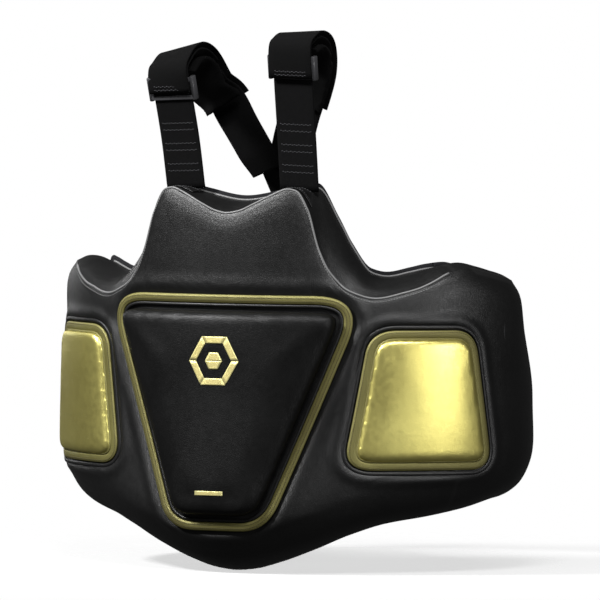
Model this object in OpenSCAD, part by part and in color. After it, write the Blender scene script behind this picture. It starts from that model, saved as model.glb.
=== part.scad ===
// Chest protector: a padded shield that wraps the front and sides of the trunk.
// +Z is up, the front faces -Y and +X is the right side as seen from the front.
// X = Y = 0 is the middle of the trunk and Z = 0 is the lowest point of the front.
// Angles round the trunk start at the middle of the front and grow towards +X.

/* [Trunk shell] */
// Half of the outer width
half_width = 295; // [285:1:305]
// Outer depth from the middle of the trunk to the chest
half_depth = 185; // [180:1:192]
// Thickness of the padded wall
wall = 57; // [55:1:59]
// Height of the shoulder peaks above the bottom tip
peak_height = 440; // [430:1:450]
// Forward bulge of the belly
belly = 18; // [10:1:20]

/* [Layers] */
// Thickness of the leather
skin = 2.4; // [2:0.1:3]
// Space between two layers
gap = 0.5; // [0.4:0.1:0.8]
// Distance from the outer face to the soft foam
core_depth = 40; // [38:1:42]
// Radius of the piping bead
bead = 2; // [1.6:0.1:2.2]

/* [Pads] */
// Height of the chest pad above the shell
chest_pad_rise = 20; // [16:1:24]
// Height of a side pad above the shell
side_pad_rise = 8; // [7:0.5:10]
// Width of the gold border and flanges
border = 10; // [8:1:11]

/* [Harness] */
// Width of the shoulder webbing
webbing = 50; // [45:1:52]
// Thickness of the webbing
webbing_thick = 2.4; // [2:0.1:2.8]
// Height of the webbing at the top of the left shoulder loop
left_loop_top = 593; // [590:1:604]
// Height of the webbing at the top of the right shoulder loop
right_loop_top = 612; // [606:1:616]
// Width of the back belt
belt_width = 100; // [80:1:110]

/* [Hidden] */

LEATHER = "#1c1c1e";
FABRIC = "#26262a";
GOLD = "#d2c55c";
CREAM = "#cfc9b4";
FOAM = "#55585c";
LEFT = -1;
RIGHT = 1;
scale_z = peak_height / 440;

// The wing joints lie here, and the wings end here.
flex_angle = 78;
flex_gap = 1.2;
wing_end = 116;
wing_round = 9;

// Angles at which the front shell has a section, closer together at the shoulder peaks.
half_front = [0, 4, 8, 12, 15, 17, 19, 21, 23.5, 26, 29, 32, 36, 40, 46, 52, 58, 64, 71, flex_angle];
front_angles = concat([for (i = [len(half_front) - 1:-1:1]) -half_front[i]], half_front);
wing_angles = [
    for (i = [0:10]) flex_angle + flex_gap + (wing_end - flex_angle - flex_gap) * sin(90 * i / 10)
];

// Height of each edge against the angle: neck, shoulder peak, armhole, then the wing.
seam_heights = [
    [0, 411], [3, 414], [6.5, 421], [12, 434], [15, 439], [17, 437], [20, 415], [22.8, 371], [25.7, 344],
    [30.6, 323], [37, 315], [45, 322], [52, 331], [58, 340], [64, 346], [78, 348]
];
liner_heights = [
    [0, 430], [12, 438], [21.5, 445], [28, 406], [32, 377], [38, 348], [43, 344], [51, 349],
    [57, 353], [64, 355], [72, 350], [80, 344], [90, 339], [100, 337], [116, 335]
];
bottom_heights = [
    [0, 0], [5, 2], [12, 10], [22, 26], [31, 42], [42, 56], [55, 64], [68, 72], [85, 82], [116, 87]
];

// ---- Small helpers ----
function smooth(t) = let (c = max(0, min(1, t))) c * c * (3 - 2 * c);
function ramp(v, from, to) = smooth((v - from) / (to - from));
function mix(a, b, t) = a + (b - a) * t;
function unit(v) = v / norm(v);
function reversed(list) = [for (i = [len(list) - 1:-1:0]) list[i]];
function turned(v) = [-v[1], v[0]];
function at(table, angle) = lookup(abs(angle), table) * scale_z;

// The lowest height within a spread of angles: room for a layer under a steep edge.
function lowest(table, angle, spread) =
    min([for (shift = [-1, 0, 1]) at(table, abs(angle) + shift * spread)]);

// An open line moved sideways, to its left, by a distance.
function moved(line, distance) = [
    for (i = [0:len(line) - 1]) let (
        before = unit(line[max(i, 1)] - line[max(i, 1) - 1]),
        after = unit(line[min(i + 1, len(line) - 1)] - line[min(i + 1, len(line) - 1) - 1]),
        side = unit(turned(before) + turned(after))
    ) line[i] + side * distance / max(0.5, side * turned(before))
];

// A solid through rings with the same number of points, closed at both ends. Every face between two
// rings is split from its lower corner on the first ring, so that layers side by side stay parallel.
// A skin's rings run along a line and back beside it, so their ends close between the two.
module loft(rings, is_skin = false) {
    count = len(rings[0]);
    last = len(rings) - 1;
    sides = [
        for (r = [0:last - 1], i = [0:count - 1]) let (
            a = r * count + i,
            b = r * count + (i + 1) % count
        ) each rings[r][i][2] < rings[r][(i + 1) % count][2]
            ? [[a, b, b + count], [a, b + count, a + count]]
            : [[a, b, a + count], [b, b + count, a + count]]
    ];
    end = is_skin
        ? [
            for (i = [0:count / 2 - 2]) let (j = count - 1 - i)
                each [[i, i + 1, j - 1], [i, j - 1, j]]
        ]
        : [[for (i = [0:count - 1]) i]];
    ends = [for (face = end) each [reversed(face), [for (i = face) last * count + i]]];
    polyhedron([for (ring = rings) each ring], concat(sides, ends), convexity = 8);
}

// ---- Trunk surface ----
function bulge(angle, z) = let (
    fade = abs(angle) < flex_angle ? pow(cos(90 * angle / flex_angle), 2) : 0,
    low = min(1.05, max(0, 330 - z / scale_z) / 250),
    high = max(0, z / scale_z - 330) / 110
) fade * (belly * low * low - 5 * high * high);

// A wing curls in towards the back, most of all at its upper rear.
function curl(angle, z) = ramp(abs(angle), 80, 112) * (5 + 22 * ramp(z, 200, 345));

// The rear end of a wing is rounded: it loses thickness and height.
function end_share(angle) = max(0, (abs(angle) - wing_end + wing_round) / wing_round);
function end_circle(angle) = sqrt(1 - 0.8 * pow(end_share(angle), 2));

// Point at an angle, at a depth in from the outer face (negative stands proud) and at a height.
function on_trunk(angle, depth, z) = let (
    middle = (at(liner_heights, angle) + at(bottom_heights, angle)) / 2,
    round = end_circle(angle),
    inward = mix(wall / 2, depth, round),
    height = mix(middle, z, 1 - 0.12 * (1 - round)),
    out = bulge(angle, height) * (1 - max(0, inward) / wall),
    in = inward + curl(angle, height)
) [(half_width - in) * sin(angle), -(half_depth - in) * cos(angle) - out, height];

// ---- Section of the padded wall: [depth, height] from the liner, under, up the front and over ----
function bottom_line(angle) = let (low = at(bottom_heights, angle)) [
    [wall - 5, low + 6], [core_depth, low], [24, low + 7], [9, low + 23], [0, low + 50]
];

function top_line(angle, spread = 0) = let (
    seam = lowest(seam_heights, angle, spread),
    edge = lowest(liner_heights, angle, spread) - 7,
    rise = edge - seam,
    gusset = [
        [0, seam - 12], [0.8, seam - 5], [5, seam], [20, seam + 0.36 * rise],
        [core_depth, seam + 0.76 * rise], [wall - 5, edge]
    ],
    crown = [
        [0, edge - 30], [4, edge - 12], [13, edge + 1], [26, edge + 7],
        [core_depth, edge + 6], [wall - 5, edge]
    ],
    share = ramp(abs(angle), 50, 66)
) [for (i = [0:5]) mix(gusset[i], crown[i], share)];

// Bottom, four points up the front, then the top.
function whole_line(angle, spread = 0) = let (
    low = bottom_line(angle),
    high = top_line(angle, spread)
) concat(low, [for (share = [0.2, 0.4, 0.6, 0.8]) mix(low[4], high[0], share)], high);
function part_of(line, from, to) = [for (i = [from:to]) line[i]];
function band(line, thick) = concat(line, reversed(moved(line, -thick)));

module wall_layer(angles, sections, is_skin = false) {
    loft([
        for (i = [0:len(angles) - 1]) [for (p = sections[i]) on_trunk(angles[i], p[0], p[1])]
    ], is_skin);
}

function no_deeper(line, depth) = [for (p = line) [min(p[0], depth), p[1]]];
function skin_sections(angles, from, to) = [
    for (a = angles) no_deeper(band(part_of(whole_line(a), from, to), skin), wall - 5)
];
function core_sections(angles) = [
    for (a = angles) no_deeper(moved(part_of(whole_line(a, 1.3), 1, 13), -skin - gap), core_depth)
];
function soft_sections(angles) = [
    for (a = angles) let (
        line = moved(whole_line(a, 1.3), -skin - gap),
        far = wall - 5 - gap
    ) [
        [core_depth + gap, line[13][1] - 0.8], [far, line[14][1] - 1.2],
        [far, line[0][1] + 1.5], [core_depth + gap, line[1][1] + 0.4]
    ]
];
function liner_sections(angles) = [
    for (a = angles) let (
        low = at(bottom_heights, a) + 9,
        high = at(liner_heights, a)
    ) [[wall - 5 + gap, high - 1], [wall, high], [wall, low + 2], [wall - 5 + gap, low]]
];

module front_cover() {
    color(LEATHER) wall_layer(front_angles, skin_sections(front_angles, 0, 10));
}

module top_gusset() {
    color(LEATHER) wall_layer(front_angles, skin_sections(front_angles, 11, 14));
}

module front_foam_core() {
    color(FOAM) wall_layer(front_angles, core_sections(front_angles));
}

module front_foam_soft() {
    color(FOAM) wall_layer(front_angles, soft_sections(front_angles));
}

module front_liner() {
    color(FABRIC) wall_layer(front_angles, liner_sections(front_angles));
}

// A round bead along the trunk at a depth and a height for each angle.
module piping(angles, depth, heights) {
    loft([
        for (i = [0:len(angles) - 1]) [
            for (k = [0:5]) on_trunk(angles[i], depth + bead * cos(60 * k), heights[i] - bead * sin(60 * k))
        ]
    ]);
}

piped_angles = [for (a = front_angles) if (abs(a) < 60) a];

module top_seam_piping() {
    color(CREAM) piping(piped_angles, -0.2, [for (a = piped_angles) top_line(a)[2][1] - 0.6]);
}

module liner_edge_piping() {
    color(CREAM)
        piping(piped_angles, wall - 5 - bead, [for (a = piped_angles) top_line(a)[5][1] + bead + 0.9]);
}

// Draws its child on the right, or mirrored on the left.
module on_side(side) {
    if (side < 0) mirror([1, 0, 0]) children();
    else children();
}

// ---- Wings ----
module wing_cover(side) {
    color(LEATHER) on_side(side)
        wall_layer(wing_angles, skin_sections(wing_angles, 0, 14), is_skin = true);
}

module wing_foam(side) {
    color(FOAM) on_side(side) wall_layer(wing_angles, [
        for (a = wing_angles) no_deeper(moved(whole_line(a), -skin - 2 * gap), wall - 5 - gap)
    ]);
}

module wing_liner(side) {
    color(FABRIC) on_side(side) wall_layer(wing_angles, liner_sections(wing_angles));
}

// ---- Pads ----
// Longest straight stretch of a pad's outline, so that it follows the curve of the trunk.
pad_step = 30;

// Four corners [across, height, reach]: each is rounded from its reach along both of its edges.
chest_middle = [0, 180];
chest_corners = [[-168, 318, 58], [168, 318, 58], [64, 48, 34], [-64, 48, 34]];
side_middle = [0, 195];
side_corners = [[-60, 279, 28], [58, 279, 28], [83, 119, 30], [-83, 119, 30]];

// Clockwise corners moved inwards by a distance, which also shortens their reach.
function inset(corners, distance) = [
    for (i = [0:3]) let (
        p = flat(corners[i]),
        before = unit(p - flat(corners[(i + 3) % 4])),
        after = unit(flat(corners[(i + 1) % 4]) - p),
        side = unit(-turned(before) - turned(after)),
        reach = distance * norm(before - after) / norm(before + after)
    ) concat(p + side * distance / (side * -turned(before)), max(4, corners[i][2] - reach))
];
function flat(corner) = [corner[0], corner[1]];

// The closed outline through rounded corners, with as many straight steps as its plan needs.
function rounded(corners, plan) = [
    for (i = [0:3]) let (
        p = flat(corners[i]),
        next = flat(corners[(i + 1) % 4]),
        a = p + corners[i][2] * unit(flat(corners[(i + 3) % 4]) - p),
        b = p + corners[i][2] * unit(next - p),
        c = next + corners[(i + 1) % 4][2] * unit(p - next),
        parts = ceil(norm(flat(plan[(i + 1) % 4]) - flat(plan[i])) / pad_step)
    ) each concat(
        [for (t = [0, 0.25, 0.5, 0.75]) (1 - t) * (1 - t) * a + 2 * t * (1 - t) * p + t * t * b],
        [for (k = [0:parts - 1]) mix(b, c, k / parts)]
    )
];

side_angle = 50.5;
side_mm_per_degree = 3.95;

// Pad outlines are drawn flat, as [across, height], then laid on the trunk at a rise above it.
// The place of a pad is "chest", or "side" for the right side pad.
function pad_corners(place) = place == "chest" ? chest_corners : side_corners;
function pad_middle(place) = place == "chest" ? chest_middle : side_middle;
function pad_angle(place, across) =
    place == "chest" ? asin(across / half_width) : side_angle + across / side_mm_per_degree;
function pad_point(place, p, rise) = on_trunk(pad_angle(place, p[0]), -rise, p[1] * scale_z);

// Each level is [inset, share of the outline's size, rise].
function pad_rings(place, levels) = [
    for (level = levels) let (
        corners = pad_corners(place),
        outline = rounded(inset(corners, level[0]), corners)
    ) [for (p = outline) pad_point(place, mix(pad_middle(place), p, level[1]), level[2])]
];

// A dome closed by a fan of triangles over its first ring and another under its last ring.
module pad_solid(place, levels) {
    rings = pad_rings(place, levels);
    count = len(rings[0]);
    last = len(rings) - 1;
    middle = pad_middle(place);
    points = concat(
        [for (ring = rings) each ring],
        [pad_point(place, middle, levels[0][2]), pad_point(place, middle, levels[last][2])]
    );
    top = len(points) - 2;
    sides = [
        for (r = [0:last - 1], i = [0:count - 1]) let (
            a = r * count + i,
            b = r * count + (i + 1) % count
        ) each [[a, b + count, b], [a, a + count, b + count]]
    ];
    fans = [
        for (i = [0:count - 1]) let (j = (i + 1) % count)
            each [[i, j, top], [last * count + j, last * count + i, top + 1]]
    ];
    polyhedron(points, concat(sides, fans), convexity = 6);
}

// A flat ring between two outlines of a pad, as a loop of four-sided sections.
module pad_ring(place, outer, inner, low, high) {
    rings = pad_rings(place, [[outer, 1, low], [outer, 1, high], [inner, 1, high], [inner, 1, low]]);
    count = len(rings[0]);
    faces = [
        for (r = [0:3], i = [0:count - 1]) let (
            s = (r + 1) % 4,
            j = (i + 1) % count
        ) each [[r * count + i, r * count + j, s * count + j], [r * count + i, s * count + j, s * count + i]]
    ];
    polyhedron([for (ring = rings) each ring], faces, convexity = 6);
}

// The rounded side of a pad's dome: [distance in from its foot, drop from its top].
function shoulder(place) = place == "chest" ? [[6, 3], [1, 9]] : [[5, 1.8], [1, 4]];

// Rises of the dome of a pad from its middle out to its foot, and back under its cover.
function dome(place, foot, rise) = concat(
    [[foot + 14, 0.3, rise], [foot + 14, 0.65, rise], [foot + 14, 1, rise]],
    [for (s = shoulder(place)) [foot + s[0], 1, rise - s[1]]]
);
function hollow(place, foot, rise) = let (s = shoulder(place)) [
    [foot + skin, 1, 1], [foot + s[1][0] + skin, 1, rise - s[1][1] - 0.5 - skin / 2],
    [foot + s[0][0] + 1 + skin, 1, rise - s[0][1] - 0.5 - skin],
    [foot + 15, 1, rise - skin - 0.4], [foot + 15, 0.65, rise - skin], [foot + 15, 0.3, rise - skin]
];

// A filling that follows the hollow of a cover, from one rise to another.
module pad_filling(place, foot, rise, low, high) {
    s = shoulder(place);
    inner = foot + 15 + skin;
    edge = foot + 4 + skin;
    pad_solid(place, [
        [inner, 0.3, high], [inner, 0.65, high], [inner, 1, high],
        [foot + 8 + skin, 1, min(high, max(low + 1.2, rise - skin - s[0][1] - 2.5))],
        [edge, 1, min(high, rise - skin - s[1][1] + 0.2)],
        [edge, 1, low], [inner, 1, low], [inner, 0.65, low], [inner, 0.3, low]
    ]);
}

flange = 3;
chest_foot = border + 9;
gel_thick = 4;

module chest_pad_border() {
    color(GOLD) pad_ring("chest", 0, border, 1, 4);
}

module chest_pad_cover() {
    color(LEATHER) pad_solid("chest", concat(
        dome("chest", chest_foot, chest_pad_rise),
        [[chest_foot, 1, 1]],
        hollow("chest", chest_foot, chest_pad_rise)
    ));
}

module chest_pad_foam() {
    color(FOAM)
        pad_filling("chest", chest_foot, chest_pad_rise, 1.4 + gel_thick + gap, chest_pad_rise - skin - 1.4);
}

module chest_pad_gel() {
    color("#7fa6b8") pad_filling("chest", chest_foot, chest_pad_rise, 1, 1 + gel_thick);
}

module side_pad_surround(side) {
    color(LEATHER) on_side(side) pad_ring("side", -9, -3, 1, 4);
}

// The cover and its flange are one piece: down the dome, out over the flange and back under it.
module side_pad_cover(side) {
    color(GOLD) on_side(side) pad_solid("side", concat(
        dome("side", border, side_pad_rise),
        [[border, 1, flange], [0, 1, flange], [0, 1, 1]],
        hollow("side", border, side_pad_rise)
    ));
}

module side_pad_foam(side) {
    color(FOAM) on_side(side) pad_filling("side", border, side_pad_rise, 1, side_pad_rise - skin - 1.4);
}

// ---- Generic marks on the chest ----
emblem_size = 62;
emblem_height = 240;
bar_height = 108;

// The face of the chest pad at a height, in the middle of the chest.
function chest_face(z) = on_trunk(0, -chest_pad_rise, z)[1];

// A six-sided ring round a small six-sided stud, raised from the pad.
module chest_emblem() {
    color(GOLD) translate([0, chest_face(emblem_height) - 1.8, emblem_height]) rotate([90, 0, 0]) {
        linear_extrude(1.4) difference() {
            circle(d = emblem_size, $fn = 6);
            circle(d = emblem_size - 16, $fn = 6);
        }
        linear_extrude(1.4) circle(d = 22, $fn = 6);
    }
}

module chest_bar() {
    color(GOLD) translate([0, chest_face(bar_height) - 1.6, bar_height]) rotate([90, 0, 0])
        linear_extrude(1.4) square([36, 5], center = true);
}

// ---- Harness ----
anchor_x = 74;
anchor_y = -141;
anchor_z = 444;
// The shoulder pad lies under the webbing, at a stand-off that clears the adjuster; a sleeve covers both.
pad_stand_off = 7.8;
pad_thick = 7;
pad_width = 58;
sleeve_stand_off = 5.5;
sleeve_thick = 1.6;

function loop_top(side) = side < 0 ? left_loop_top : right_loop_top;

// Highest point of the straight front of a loop: the left one bends back lower down.
function loop_front(side) = loop_top(side) - (side < 0 ? 27 : 20);

// Route of a shoulder loop's webbing from the gusset, over the shoulder and down to the yoke.
function loop_route(side) = let (top = loop_top(side), front = loop_front(side)) [
    [anchor_x, anchor_y, anchor_z], [76, -151, 500], [79, -168, front], [79, -160, front + 14],
    [78, -140, top], [75, -114, top - 9], [67, -95, top - 36],
    [53, -84, min(546, top - 52)], [40, -79, 516], [28, -70, 490]
];

// A smooth route through points: each stretch bends by its neighbours.
function bend(a, b, c, d, t) = b + 0.5 * (
    (c - a) * t + (2 * a - 5 * b + 4 * c - d) * t * t + (3 * b - a - 3 * c + d) * t * t * t
);
function smooth_route(points, parts) = let (last = len(points) - 1) concat(
    [
        for (i = [0:last - 1], k = [0:parts - 1])
            bend(points[max(i - 1, 0)], points[i], points[i + 1], points[min(i + 2, last)], k / parts)
    ],
    [points[last]]
);

// A flat strap along a route, offset to the inside of its bend, with its width kept level.
module strap(route, width, thick, offset = 0) {
    last = len(route) - 1;
    loft([
        for (i = [0:last]) let (
            along = unit(route[min(i + 1, last)] - route[max(i - 1, 0)]),
            across = unit([1, 0, 0] - along[0] * along),
            face = cross(along, across),
            middle = route[i] + face * offset
        ) [
            for (c = [[-1, 1], [1, 1], [1, -1], [-1, -1]])
                middle + across * c[0] * width / 2 + face * c[1] * thick / 2
        ]
    ]);
}

function side_route(side, from, to) = [
    for (p = part_of(smooth_route(loop_route(side), 3), from, to)) [side * p[0], p[1], p[2]]
];

module front_strap(side) {
    color(LEATHER) strap(side_route(side, 0, 16), webbing, webbing_thick);
}

module rear_strap(side) {
    route = side_route(side, 17, 27);
    color(LEATHER) strap(route, webbing, webbing_thick);
}

module shoulder_pad(side) {
    color(FABRIC) strap(side_route(side, 7, 22), pad_width, pad_thick, pad_stand_off + pad_thick / 2);
}

module shoulder_sleeve(side) {
    offset = -sleeve_stand_off - sleeve_thick / 2;
    color(FABRIC) strap(side_route(side, 5, 22), pad_width - 2, sleeve_thick, offset);
}

// Patch that lies on the gusset where a strap is sewn down.
module strap_anchor(side) {
    near = 18;
    far = 38;
    color(LEATHER) on_side(side) wall_layer([11, 12.5, 14, 15, 16, 17, 18, 19, 20.5], [
        for (a = [11, 12.5, 14, 15, 16, 17, 18, 19, 20.5]) let (
            line = top_line(a),
            low = lookup(near, line) + 3,
            high = lookup(far, line) + 3
        ) [[near, low + 1.4], [far, high + 1.4], [far, high], [near, low]]
    ]);
}

adjuster_height = 26;
adjuster_bar = 5;

// Sliding adjuster: two bars in front of the webbing and one behind it, joined at both ends.
module adjuster(side) {
    foot = [side * 76, -151, 500];
    head = [side * 79, -168, loop_front(side)];
    along = unit(head - foot);
    middle = head - along * 14;
    wide = webbing + 10;
    lean = asin(along[1]);
    color("#3a3a3c") translate(middle) rotate([-lean, asin(along[0]), 0]) {
        for (end = [-1, 1]) {
            translate([end * (wide / 2 - 2), 0.4, 0]) cube([4, 9.2, adjuster_height], center = true);
            translate([0, -3.3, end * (adjuster_height - adjuster_bar) / 2])
                cube([wide - 1, 1.6, adjuster_bar], center = true);
        }
        translate([0, 3.3, 0]) cube([wide - 1, 1.6, adjuster_bar], center = true);
    }
}

yoke_foot = [0, -43.6, 456];
yoke_lean = 33;

// Notched patch behind the meeting straps.
module back_yoke() {
    half = [[26, 0], [36, 24], [44, 42], [26, 46], [0, 30]];
    color(LEATHER) translate(yoke_foot) rotate([90 + yoke_lean, 0, 0]) translate([0, 0, -2.4])
        linear_extrude(2.4) polygon(concat(half, [for (i = [3:-1:0]) [-half[i][0], half[i][1]]]));
}

centre_route = smooth_route([
    [0, -66, 480], [0, -44, 452], [0, -8, 412], [0, 36, 370], [0, 76, 334], [0, 96, 306], [0, 100, 286]
], 3);

module centre_strap() {
    color(LEATHER) strap(centre_route, webbing, webbing_thick);
}

module centre_strap_hook_tab() {
    color(FABRIC) strap(part_of(centre_route, 14, 18), webbing - 6, 1.6, -webbing_thick / 2 - 1.3);
}

// ---- Back belt and rear loops ----
belt_middle = 262;
belt_thick = 3;
belt_half_width = 254;
belt_half_depth = 138;
belt_start = 118;
left_belt_end = 150;
right_belt_end = 205;

function belt_point(angle, out, z) =
    [(belt_half_width + out) * sin(angle), -(belt_half_depth + out) * cos(angle), z];

// Curved band that stands on edge, between two angles and two distances out.
module belt_band(from, to, in, out, width) {
    steps = ceil((to - from) / 6);
    low = belt_middle - width / 2;
    high = belt_middle + width / 2;
    loft([
        for (i = [0:steps]) let (a = mix(from, to, i / steps)) [
            belt_point(a, out, low), belt_point(a, out, high),
            belt_point(a, in, high), belt_point(a, in, low)
        ]
    ]);
}

// The short left half carries the loop patch on its outer face.
module left_belt() {
    color(FABRIC) on_side(LEFT) belt_band(belt_start, left_belt_end, 0, belt_thick, belt_width);
}

module left_belt_loop_patch() {
    color(FABRIC) on_side(LEFT)
        belt_band(left_belt_end - 22, left_belt_end - 1, belt_thick + 0.8, belt_thick + 2.4, belt_width - 10);
}

// The long right half crosses the back and carries the hook patch on its inner face.
module right_belt() {
    color(FABRIC) belt_band(belt_start, right_belt_end, 0, belt_thick, belt_width);
}

module right_belt_hook_patch() {
    color("#101012") belt_band(right_belt_end - 16, right_belt_end - 1, -2, -0.8, belt_width - 16);
}

tab_height = 327;
tab_turn = 38.5;

// Places its child at the wing's upper end, with +X pointing away from the wing.
module at_wing_end(side) {
    end = on_trunk(wing_end, wall / 2, tab_height);
    on_side(side) translate([end[0], end[1], tab_height]) rotate([0, 0, 90 + tab_turn]) children();
}

// Webbing tab that holds the slotted plastic loop.
module wing_tab(side) {
    color(FABRIC) at_wing_end(side) translate([9.5, 0, 0]) cube([13, 2.6, 18], center = true);
}

module wing_loop(side) {
    color("#303032") at_wing_end(side) translate([23.5, 0, 0]) rotate([90, 0, 0])
        linear_extrude(3, center = true) difference() {
            square([13, 24], center = true);
            square([8, 19], center = true);
        }
}

front_cover();
top_gusset();
front_foam_core();
front_foam_soft();
front_liner();
top_seam_piping();
liner_edge_piping();
chest_pad_border();
chest_pad_cover();
chest_pad_foam();
chest_pad_gel();
chest_emblem();
chest_bar();
side_pad_surround(LEFT);  // left_side_pad_surround
side_pad_cover(LEFT);  // left_side_pad_cover
side_pad_foam(LEFT);  // left_side_pad_foam
side_pad_surround(RIGHT);  // right_side_pad_surround
side_pad_cover(RIGHT);  // right_side_pad_cover
side_pad_foam(RIGHT);  // right_side_pad_foam
strap_anchor(LEFT);  // left_strap_anchor
strap_anchor(RIGHT);  // right_strap_anchor
wing_cover(LEFT);  // left_wing_cover
wing_foam(LEFT);  // left_wing_foam
wing_liner(LEFT);  // left_wing_liner
wing_tab(LEFT);  // left_wing_tab
wing_loop(LEFT);  // left_wing_loop
wing_cover(RIGHT);  // right_wing_cover
wing_foam(RIGHT);  // right_wing_foam
wing_liner(RIGHT);  // right_wing_liner
wing_tab(RIGHT);  // right_wing_tab
wing_loop(RIGHT);  // right_wing_loop
front_strap(LEFT);  // left_front_strap
shoulder_pad(LEFT);  // left_shoulder_pad
shoulder_sleeve(LEFT);  // left_shoulder_sleeve
rear_strap(LEFT);  // left_rear_strap
adjuster(LEFT);  // left_adjuster
front_strap(RIGHT);  // right_front_strap
shoulder_pad(RIGHT);  // right_shoulder_pad
shoulder_sleeve(RIGHT);  // right_shoulder_sleeve
rear_strap(RIGHT);  // right_rear_strap
adjuster(RIGHT);  // right_adjuster
back_yoke();
centre_strap();
centre_strap_hook_tab();
left_belt();
left_belt_loop_patch();
right_belt();
right_belt_hook_patch();
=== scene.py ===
"""Looks of the chest protector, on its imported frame. Metres, +Z up, the front faces -Y."""

import math

import bpy
import numpy as np
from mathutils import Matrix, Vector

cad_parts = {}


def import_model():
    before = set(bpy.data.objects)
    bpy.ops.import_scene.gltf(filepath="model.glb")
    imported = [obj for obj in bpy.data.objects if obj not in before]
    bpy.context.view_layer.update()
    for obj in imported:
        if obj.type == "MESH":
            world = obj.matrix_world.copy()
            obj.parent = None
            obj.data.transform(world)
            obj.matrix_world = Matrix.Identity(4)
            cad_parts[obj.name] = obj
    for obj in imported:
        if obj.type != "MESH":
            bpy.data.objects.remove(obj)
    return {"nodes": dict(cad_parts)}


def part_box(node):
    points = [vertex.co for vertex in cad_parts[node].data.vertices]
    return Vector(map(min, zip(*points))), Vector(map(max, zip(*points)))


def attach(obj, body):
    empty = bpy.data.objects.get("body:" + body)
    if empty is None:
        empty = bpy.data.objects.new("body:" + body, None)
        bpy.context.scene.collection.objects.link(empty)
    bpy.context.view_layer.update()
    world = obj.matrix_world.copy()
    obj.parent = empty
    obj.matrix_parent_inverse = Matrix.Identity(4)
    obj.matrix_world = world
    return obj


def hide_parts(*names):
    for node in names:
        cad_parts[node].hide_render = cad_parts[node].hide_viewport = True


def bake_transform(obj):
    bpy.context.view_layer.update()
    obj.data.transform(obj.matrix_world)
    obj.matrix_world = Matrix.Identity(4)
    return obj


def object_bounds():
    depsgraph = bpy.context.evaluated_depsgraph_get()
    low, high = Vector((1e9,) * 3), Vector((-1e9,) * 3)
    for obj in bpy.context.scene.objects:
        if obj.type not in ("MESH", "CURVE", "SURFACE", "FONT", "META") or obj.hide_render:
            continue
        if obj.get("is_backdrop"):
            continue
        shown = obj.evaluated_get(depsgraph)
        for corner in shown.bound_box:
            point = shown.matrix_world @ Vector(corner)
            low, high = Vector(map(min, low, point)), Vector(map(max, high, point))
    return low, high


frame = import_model()
cad_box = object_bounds()

MM = 0.001
LEFT, RIGHT = -1, 1

# ---- Trunk shell, as in the CAD ----
HALF_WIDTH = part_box("right_wing_cover")[1][0]
HALF_DEPTH = 185 * MM
WALL = 57 * MM
COVER_DEPTH = WALL - 5 * MM
SKIN = 2.2 * MM
BELLY = 18 * MM
FLEX_ANGLE = 78
WING_END = 116
WING_ROUND = 9
SPLIT_ANGLE = 60

SEAM_HEIGHTS = [
    (0, 411), (3, 413.5), (6.5, 421), (12, 434), (15, 439), (17, 437), (20, 415), (22.8, 371), (25.7, 344),
    (30.6, 323), (37, 315), (45, 322), (52, 331), (58, 340), (64, 346), (78, 348), (117, 348),
]
LINER_HEIGHTS = [
    (0, 430), (12, 438), (21.5, 445), (28, 406), (32, 377), (38, 348), (43, 344), (51, 349),
    (57, 353), (64, 355), (72, 350), (80, 344), (90, 339), (100, 337), (117, 335),
]
BOTTOM_HEIGHTS = [
    (0, 0), (5, 2), (12, 10), (22, 26), (31, 42), (42, 56), (55, 64), (68, 72), (85, 82), (117, 87),
]


def side_name(side):
    return "left" if side < 0 else "right"


def smooth(t):
    t = np.clip(t, 0, 1)
    return t * t * (3 - 2 * t)


def ramp(value, low, high):
    return smooth((value - low) / (high - low))


def mix(a, b, share):
    return a + (b - a) * share


def height_at(table, angle):
    """Height of an edge at each angle, on a smooth curve that never overshoots its points."""
    x, y = np.array(table, float).T
    slope = np.diff(y) / np.diff(x)
    product, total = slope[:-1] * slope[1:], slope[:-1] + slope[1:]
    tangent = np.zeros_like(y)
    tangent[1:-1] = np.where(product > 0, 2 * product / np.where(product > 0, total, 1), 0)
    tangent[-1] = slope[-1]
    a = np.clip(np.abs(angle), x[0], x[-1])
    i = np.clip(np.searchsorted(x, a, side="right") - 1, 0, len(x) - 2)
    step = x[i + 1] - x[i]
    t = (a - x[i]) / step
    rise = smooth(t)
    start = t * (1 - t) ** 2 * step * tangent[i]
    end = t * t * (t - 1) * step * tangent[i + 1]
    return (mix(y[i], y[i + 1], rise) + start + end) * MM


def bulge(angle, z):
    fade = np.where(np.abs(angle) < FLEX_ANGLE, np.cos(np.radians(90 * angle / FLEX_ANGLE)) ** 2, 0)
    low = np.minimum(1.05, np.maximum(0, 0.330 - z) / 0.250)
    high = np.maximum(0, z - 0.330) / 0.110
    return fade * (BELLY * low**2 - 5 * MM * high**2)


def curl(angle, z):
    return ramp(np.abs(angle), 80, 112) * (5 + 22 * ramp(z, 0.200, 0.345)) * MM


def on_trunk(angle, depth, z):
    """Point at an angle round the trunk, a depth in from the outer face and a height."""
    angle, depth, z = np.broadcast_arrays(angle, depth, z)
    share = np.clip((np.abs(angle) - WING_END + WING_ROUND) / WING_ROUND, 0, 1)
    keep = np.sqrt(1 - 0.985 * share**2)
    middle = (height_at(LINER_HEIGHTS, angle) + height_at(BOTTOM_HEIGHTS, angle)) / 2
    inward = mix(WALL / 2, depth, keep)
    height = mix(middle, z, 1 - 0.10 * (1 - keep))
    out = bulge(angle, height) * (1 - np.maximum(0, inward) / WALL)
    inward = inward + curl(angle, height)
    turn = np.radians(angle)
    x = (HALF_WIDTH - inward) * np.sin(turn)
    y = -(HALF_DEPTH - inward) * np.cos(turn) - out
    return np.stack([x, y, height], axis=-1)


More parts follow.
